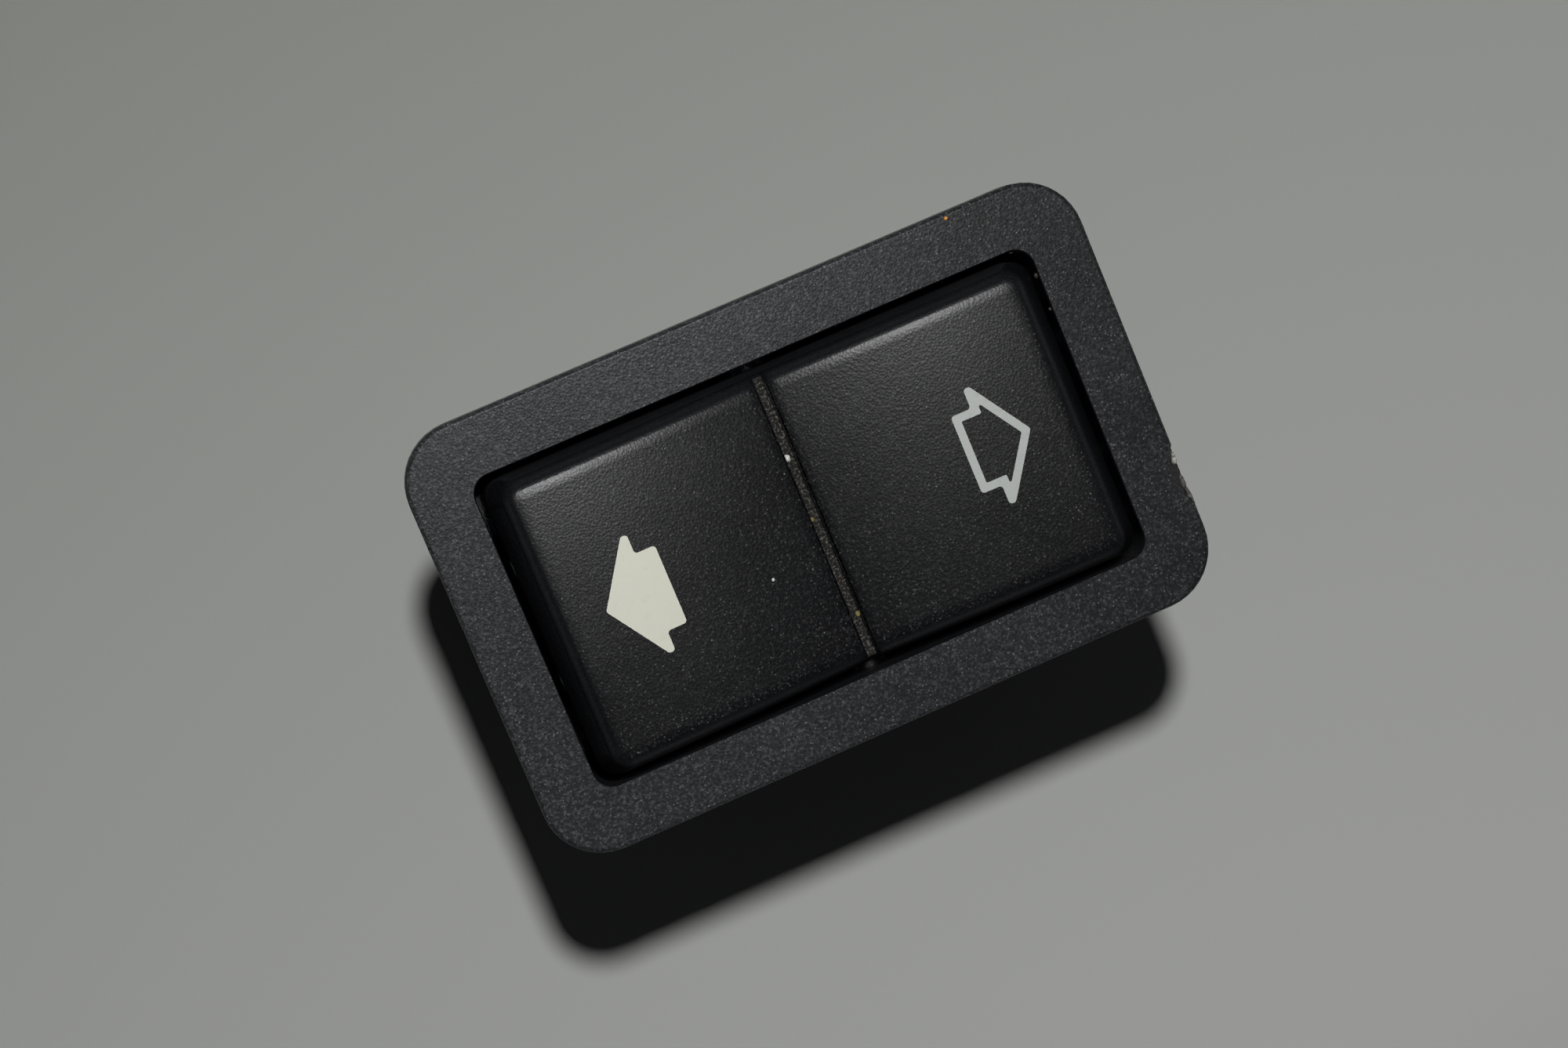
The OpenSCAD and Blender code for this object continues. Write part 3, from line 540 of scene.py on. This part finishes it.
# %% [markdown]
# A piece is broken out of the frame's right edge. The break is cut with a rough body: its inner side
# follows the outline of the damage from point to point, slopes outward on the way down, and is pushed
# about by noise so that the torn face catches the light unevenly. A smaller nick marks the left edge.

# %% Damage to the frame
CHIP_OUTLINE = ((-4.6, 22.1), (-4.87, 21.67), (-5.7, 21.33), (-6.0, 21.2), (-6.47, 21.23), (-7.27, 21.3),
                (-7.8, 21.47), (-8.07, 21.73), (-8.3, 22.1))
CHIP_FALL = 0.85


def chip_edge(y):
    for (y0, x0), (y1, x1) in zip(CHIP_OUTLINE, CHIP_OUTLINE[1:]):
        if y1 <= y <= y0:
            return x0 + (x1 - x0) * (y0 - y) / (y0 - y1)
    return 22.1


def torn(p, size, amount):
    return noise.noise(p / size) * amount + noise.noise(p / size * 2.7) * amount / 2


chip_cutter = block("chip_cutter", (21, -8.35, 24.4), (22.6, -4.55, 26.4))
open_piece(chip_cutter)
slice_at("y", [-4.7 - 0.12 * i for i in range(30)])
slice_at("z", [24.5 + 0.14 * i for i in range(13)])
close_piece()


def chip_form(p):
    if p.x > 21.5:
        return p
    edge = chip_edge(p.y)
    slope = min((FRAME_TOP - min(p.z, FRAME_TOP)) / CHIP_FALL, 1.2)
    reach = edge + slope * (22.05 - edge) + torn(p, 0.5, 0.1)
    return Vector((min(reach, 22.3), p.y, p.z))


move_points(chip_cutter, chip_form)
chip_cutter.data.materials.append(torn_abs)
nick_cutter = block("nick_cutter", (-22.4, 7.05, 25.5), (-21.85, 7.5, 26.4))
open_piece(nick_cutter)
bpy.ops.mesh.select_all(action="SELECT")
bpy.ops.mesh.subdivide(number_cuts=3)
close_piece()
move_points(nick_cutter, lambda p: p + Vector((torn(p, 0.2, 0.1), torn(p + Vector((5, 0, 0)), 0.2, 0.1), 0)))
nick_cutter.data.materials.append(torn_abs)


def housing_finish(middle, normal):
    if middle.z < FRAME_SEAT - 0.1:
        return 2
    on_top = middle.z > FRAME_TOP - 0.3 and normal.z > 0.4
    return 0 if on_top and (outside_opening(middle) or normal.z > 0.9) else 1


paint(housing, [grained_abs, smooth_abs, body_abs, torn_abs], housing_finish)
combine(housing, chip_cutter, "DIFFERENCE")
combine(housing, nick_cutter, "DIFFERENCE")
finish_shading(housing)
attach(housing, "switch_body")
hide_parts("housing")
print("housing materials:", [m.name for m in housing.data.materials])

# %% [markdown]
# One whitened sliver still lies on the break, and grey burrs stand along the edge below it. Crumbs like
# these are all made in one way: a small box is subdivided, rounded and pushed about by noise, so that no
# two look alike.

# %% Slivers and burrs
def crumbs(name, places, material, limit=22):
    """One piece of small lumps, each with its middle and half its size in mm, kept below a limit in x."""
    whole = None
    for number, (middle, half) in enumerate(places):
        middle, half = Vector(middle), Vector(half)
        shift = Vector((number * 3.1, 0, 0))
        size = max(half)
        crumb = block(name, middle - half, middle + half)
        open_piece(crumb)
        bpy.ops.mesh.select_all(action="SELECT")
        bpy.ops.mesh.subdivide(number_cuts=4, smoothness=1)
        close_piece()
        move_points(crumb, lambda p: Vector((
            min(p.x + torn(p + shift, size / 2, half.x * 0.6), limit - 0.01),
            p.y + torn(p - shift, size / 2, half.y * 0.4),
            p.z + torn(p * 1.3 + shift, size / 2, half.z * 0.5))))
        if whole:
            hold(whole)
            crumb.select_set(True)
            bpy.ops.object.join()
        else:
            whole = crumb
    paint(whole, [material])
    finish_shading(whole, 60)
    print(name, "crumbs:", len(places), "faces:", len(whole.data.polygons))
    return whole


sliver = crumbs("whitened_sliver", [((21.78, -5.66, 25.5), (0.11, 0.2, 0.12)),
                                    ((21.86, -5.36, 25.52), (0.07, 0.2, 0.1))], whitened_abs)
burrs = crumbs("edge_burrs", [((21.87, -7.1, 25.3), (0.1, 0.36, 0.14)),
                              ((21.92, -7.68, 25.55), (0.05, 0.12, 0.1)),
                              ((21.9, -8.25, 25.62), (0.07, 0.5, 0.12)),
                              ((21.94, -9.95, 25.6), (0.04, 0.07, 0.08))], burr_abs)
for piece in (sliver, burrs):
    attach(piece, "switch_body")

# %% [markdown]
# The rocker is one hollow moulding. Each half of its face is a long flat arc that falls from the outer
# end to the groove in the middle, so the whole face is a shallow valley that a finger finds in the
# dark. It starts as a plate with round corners that is pulled up into walls, drawn in a little, and
# rounded over by a row of insets. Planes then slice it across, and each point drops by the arc at its
# place, so that walls, round edge and face all follow the valley.

# %% Rocker form
FACE_TOP, FACE_END, FACE_FALL, EDGE_R = 28.2, 16.2, 1.45, 0.74
SKIRT, ROOF = 19.5, 26.5
GROOVE_HALF, GROOVE_DEPTH, GROOVE_ROUND = 0.32, 0.85, 0.3
ROCKER_L, ROCKER_W, SHOULDER, ROUND_STEPS = 35.5, 19.2, 26, 8
run = FACE_END - 0.35
ARC_R = (run * run + FACE_FALL ** 2) / (2 * FACE_FALL)

rocker = rounded_plate("rocker_shell", ROCKER_L, ROCKER_W, 1.3, SKIRT, steps=8)
open_piece(rocker)
bpy.ops.mesh.select_all(action="SELECT")
raise_faces(SHOULDER - SKIRT)
choose("faces", lambda middle, normal: middle.z > SHOULDER - 0.1)
raise_faces(FACE_TOP - EDGE_R - SHOULDER)
bpy.ops.transform.resize(value=(1 - 1.5 / ROCKER_L, 1 - 0.5 / ROCKER_W, 1))
for step in range(ROUND_STEPS):
    a, b = (math.pi / 2 * s / ROUND_STEPS for s in (step, step + 1))
    bpy.ops.mesh.inset(thickness=EDGE_R * (math.cos(a) - math.cos(b)) * MM,
                       depth=EDGE_R * (math.sin(b) - math.sin(a)) * MM)
choose("faces", lambda middle, normal: middle.z < SKIRT + 0.01)
bpy.ops.mesh.inset(thickness=1.2 * MM)
raise_faces(ROOF - SKIRT)
bpy.ops.mesh.select_all(action="SELECT")
bpy.ops.mesh.normals_make_consistent(inside=False)
groove_slices = [GROOVE_HALF + GROOVE_ROUND * s / 5 for s in range(6)]
face_slices = [1.0 + 0.76 * i for i in range(20)] + [15.75, 15.95, 16.19]
slice_at("x", [0] + [s * x for s in (-1, 1) for x in groove_slices + face_slices])
slice_at("y", [0] + [s * y for s in (-1, 1) for y in (2, 4, 6, 7.95, 8.15, 8.35, 8.5)])
slice_at("z", [22.5, 24.5])
close_piece()
print("rocker arc radius:", round(ARC_R, 1), "mm, points:", len(rocker.data.vertices))

# %% [markdown]
# While the face is still level it can be told from its round edge by height, so the paint goes on now:
# grain on the face, a worn deeper black on the round edge, plain black below. That plain black is a
# little lighter than the round edge: painted light, for light bounced onto the walls from the frame's
# opening. Then every point drops by the arc at its place. The lips of the groove turn down, and a slight
# crown rolls the face over towards its edges, where the lamp's highlight runs.

# %% Rocker paint and valley
# painted light: the walls take the lighter plain black, for light bounced onto them from the frame's opening
paint(rocker, [rocker_grain, body_abs, round_abs],
      lambda middle, normal: 0 if middle.z > FACE_TOP - 0.005 else 2 if normal.z > 0.25 else 1)


def share(value, low, high):
    return min(max((value - low) / (high - low), 0), 1)


def valley(x):
    along = FACE_END - min(abs(x), FACE_END)
    return ARC_R - math.sqrt(ARC_R ** 2 - along ** 2)


def groove(x):
    out = min(max(GROOVE_HALF + GROOVE_ROUND - abs(x), 0), GROOVE_ROUND)
    return GROOVE_ROUND - math.sqrt(GROOVE_ROUND ** 2 - out ** 2)


def crown(x, y):
    return 0.002 * y * y + 0.11 * max(abs(y) - 7.95, 0) ** 2 + 0.1 * max(abs(x) - 15.6, 0) ** 2


def rocker_point(p):
    fall = valley(p.x) * share(p.z, 20.5, 24.5)
    fall += groove(p.x) * share(p.z, 27.3, 27.9) + crown(p.x, p.y) * share(p.z, 26, 27.4)
    return Vector((p.x, p.y, p.z - fall))


move_points(rocker, rocker_point)

# %% [markdown]
# The groove runs across the whole rocker, side walls too. The points have only rounded its lips; a bar
# with a little draft now cuts it. The bar's underside is painted with settled dust before the cut, and
# the cut hands that material to the groove's floor.

# %% Groove
GROOVE_FLOOR, DRAFT = FACE_TOP - FACE_FALL - GROOVE_DEPTH, 0.07
groove_bar = block("groove_bar", (-0.26, -10.5, GROOVE_FLOOR), (0.26, 10.5, 29))
move_points(groove_bar, lambda p: Vector((p.x + math.copysign((p.z - GROOVE_FLOOR) * DRAFT, p.x), p.y, p.z)))
paint(groove_bar, [dusty_groove, smooth_abs], lambda middle, normal: 0 if normal.z < -0.5 else 1)
combine(rocker, groove_bar, "DIFFERENCE")

# %% [markdown]
# Under the face the rocker carries a rib, two sleeves for the plungers, and the pins that it tilts on.
# The arrows go right through its face, so their holes are cut with prisms taken from the two inlays.

# %% Rocker inside and arrow holes
SLEEVE_Y, BORE_R = 5, 1.5
combine(rocker, block("rib", (-0.5, -8.9, SKIRT), (0.5, 8.9, 25.4)), "UNION")
for side in (-1, 1):
    combine(rocker, rod("sleeve", 2.1, (0, side * SLEEVE_Y, 17.5), 7.9), "UNION")
    combine(rocker, rod("pin", 1.5, (0, side * 8.4, PIVOT_Z), side * 2.8, "y"), "UNION")
for side in (-1, 1):
    combine(rocker, rod("sleeve_bore", BORE_R, (0, side * SLEEVE_Y, 17), 7.95), "DIFFERENCE")


def node_copy(node, name):
    """A copy of a solid as a new piece, with its loose triangles merged."""
    piece = bpy.data.objects.new(name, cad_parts[node].data.copy())
    scene.collection.objects.link(piece)
    open_piece(piece)
    bpy.ops.mesh.select_all(action="SELECT")
    bpy.ops.mesh.remove_doubles(threshold=1e-6)
    close_piece()
    hold(piece)
    bpy.ops.mesh.customdata_custom_splitnormals_clear()
    return piece


for node in ("filled_arrow_lens", "outline_arrow_lens"):
    cutter = node_copy(node, "arrow_cutter")
    move_points(cutter, lambda p: p + Vector((0, 0, 1)) if p.z > 27.6 else p)
    combine(rocker, cutter, "DIFFERENCE")
finish_shading(rocker)
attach(rocker, "rocker")
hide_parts("rocker_cap")
print("rocker faces:", len(rocker.data.polygons))


# %% [markdown]
# The arrows are inlays of white plastic that a lamp can light from behind. The filled one has aged to
# cream, the outline is a cooler grey white. Fine dirt sits in the moulded surface, and a little
# roughness keeps the lamp's reflection soft.

# %% Arrow inlays
def white_inlay(name, clean, soiled, node):
    made, tree, shader, place = start_material(name)
    soil = add_node(tree, "ShaderNodeTexNoise",
                    {"Vector": place, "Scale": 1 / (0.5 * MM), "Detail": 6, "Roughness": 0.65})
    colour = ramp(tree, soil.outputs["Fac"], [(0.25, soiled), (0.45, clean)])
    tree.links.new(colour, shader.inputs["Base Color"])
    shader.inputs["Roughness"].default_value = 0.45
    relief = add_node(tree, "ShaderNodeBump", {"Height": soil.outputs["Fac"], "Distance": 0.006 * MM})
    tree.links.new(relief.outputs["Normal"], shader.inputs["Normal"])
    paint(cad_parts[node], [made])


white_inlay("aged_cream_acrylic", "#c1c2b3", "#b9baa9", "filled_arrow_lens")
white_inlay("greyish_white_acrylic", "#9da19e", "#8a8e8b", "outline_arrow_lens")

# %% [markdown]
# A few crumbs of dirt stay where they lie: a white one on the left half, a white and two yellowish ones in
# the groove, brown ones on the opening's rear right walls, and an orange one on the frame's rear edge.
# Each sits on the surface that carries it.

# %% Crumbs of dirt
def crumb_stuff(name, dark, light):
    return mottled(name, (0.35, dark), (0.65, light), 0.7, 0.1, 3)


def face_z(x, y):
    return FACE_TOP - valley(x) - crown(x, y)


white_crumbs = crumbs("white_crumbs", [((-3.9, -2.3, face_z(-3.9, -2.3) + 0.02), (0.06, 0.06, 0.05)),
                                       ((-0.15, 3.92, GROOVE_FLOOR + 0.05), (0.08, 0.17, 0.07))],
                      crumb_stuff("chalky_crumb", "#b9b8b2", "#dddcd6"))
yellow_crumbs = crumbs("yellow_crumbs", [((-0.2, -0.08, GROOVE_FLOOR + 0.05), (0.08, 0.09, 0.07)),
                                         ((0.16, -6.45, GROOVE_FLOOR + 0.05), (0.09, 0.12, 0.07))],
                       crumb_stuff("yellow_grit", "#5c5530", "#857b45"))
brown_crumbs = crumbs("brown_crumbs", [((18.2, 8.1, 25.5), (0.06, 0.1, 0.08)),
                                       ((18.21, 5.9, 25.6), (0.05, 0.07, 0.06)),
                                       ((17.3, 10.04, 25.6), (0.1, 0.06, 0.07))],
                      crumb_stuff("brown_grit", "#211e1a", "#453e36"))
orange_crumb = crumbs("orange_crumb", [((14.3, 13.45, FRAME_TOP + 0.01), (0.07, 0.07, 0.05))],
                      crumb_stuff("orange_grit", "#b5772c", "#dd9a45"))
for piece, body, slot in ((white_crumbs, "rocker", "rocker_plastic"),
                          (yellow_crumbs, "rocker", "rocker_plastic"),
                          (brown_crumbs, "switch_body", "housing_plastic"),
                          (orange_crumb, "switch_body", "housing_plastic")):
    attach(piece, body)

# %% [markdown]
# The base is a plainer moulding that snaps in from below and forms the connector. Its solid has the
# right shape, so a copy only gets the small round edges that any moulding has.

# %% Base
base = node_copy("base", "base_moulding")
soften = base.modifiers.new("mould_edges", "BEVEL")
soften.width, soften.segments, soften.limit_method = 0.1 * MM, 2, "ANGLE"
soften.angle_limit = math.radians(40)
apply_all(base)
paint(base, [body_abs])
finish_shading(base)
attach(base, "switch_body")
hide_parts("base")


# %% [markdown]
# The metal parts inside keep their solids. Stamped brass shows the long fine lines of the rolled sheet,
# bronze is redder, and the contact rivets are dull silver. A tarnish noise dulls each of them a little.
# The lines are drawn at 0.2 mm, coarser than real.

# %% Metals
def sheet_metal(name, bright, tarnished, roughness, nodes, lines=(1, 1, 0.05)):
    made, tree, shader, place = start_material(name)
    stretched = add_node(tree, "ShaderNodeMapping", {"Vector": place, "Scale": lines})
    drawn = add_node(tree, "ShaderNodeTexNoise",
                     {"Vector": stretched.outputs["Vector"], "Scale": 1 / (0.2 * MM), "Detail": 3})
    tarnish = add_node(tree, "ShaderNodeTexNoise", {"Vector": place, "Scale": 1 / (1.5 * MM), "Detail": 4})
    tone = ramp(tree, tarnish.outputs["Fac"], [(0.3, tarnished), (0.6, bright)])
    tree.links.new(tone, shader.inputs["Base Color"])
    spread = add_node(tree, "ShaderNodeMapRange",
                      {"Value": drawn.outputs["Fac"], "To Min": roughness - 0.08, "To Max": roughness + 0.12})
    tree.links.new(spread.outputs["Result"], shader.inputs["Roughness"])
    shader.inputs["Metallic"].default_value = 1
    relief = add_node(tree, "ShaderNodeBump", {"Height": drawn.outputs["Fac"], "Distance": 0.01 * MM})
    tree.links.new(relief.outputs["Normal"], shader.inputs["Normal"])
    for node in nodes:
        paint(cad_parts[node], [made])
    return made


terminals = [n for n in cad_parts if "terminal" in n]
sheet_metal("stamped_brass", "#c9a862", "#9c7f45", 0.34, terminals)
sheet_metal("rolled_bronze", "#c08a4a", "#94632f", 0.32,
            ["contact_strip_front", "contact_strip_rear"], (0.05, 1, 1))
sheet_metal("dull_silver", "#cfcec8", "#a8a69e", 0.4,
            ["moving_contacts_front", "moving_contacts_rear", "fixed_contacts"], (1, 1, 1))

# %% [markdown]
# A plunger slides up into its sleeve against its spring. Each spring here is a copy of its solid that
# rides with the rocker at its rest length. Spring wire is drawn steel, greyer and brighter than the rest.

# %% Plunger springs
spring_steel = sheet_metal("drawn_spring_steel", "#b9bcc0", "#8e9194", 0.3, [], (1, 1, 1))
for end in ("front", "rear"):
    node = "plunger_spring_" + end
    low, high = (Vector(corner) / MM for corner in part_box(node))
    spring = node_copy(node, "coil_spring_" + end)
    paint(spring, [spring_steel])
    finish_shading(spring)
    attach(spring, "rocker")
    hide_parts(node)
    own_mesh(spring)
    print(spring.name, "stands", round(high.z - low.z, 2), "mm tall at rest")

# %% [markdown]
# Three small materials are left: the plungers' natural white acetal, the lamp holder's grey nylon and
# the bulb's clear glass.

# %% Plungers, lamp holder and bulb
def plain_moulding(name, light, dark, roughness, nodes):
    made, tree, shader, place = start_material(name)
    flow = add_node(tree, "ShaderNodeTexNoise", {"Vector": place, "Scale": 1 / (1.2 * MM), "Detail": 3})
    tone = ramp(tree, flow.outputs["Fac"], [(0.35, dark), (0.65, light)])
    tree.links.new(tone, shader.inputs["Base Color"])
    shader.inputs["Roughness"].default_value = roughness
    relief = add_node(tree, "ShaderNodeBump", {"Height": flow.outputs["Fac"], "Distance": 0.02 * MM})
    tree.links.new(relief.outputs["Normal"], shader.inputs["Normal"])
    for node in nodes:
        paint(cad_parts[node], [made])
    return shader


plain_moulding("natural_acetal", "#e6e3d8", "#dad6c8", 0.35, ["plunger_front", "plunger_rear"])
plain_moulding("grey_nylon", "#3f4043", "#343538", 0.5, ["lamp_holder"])
glass = plain_moulding("clear_bulb_glass", "#f4f6f5", "#eef1ef", 0.05, ["lamp_bulb"])
glass.inputs["Transmission Weight"].default_value = 1
glass.inputs["IOR"].default_value = 1.5
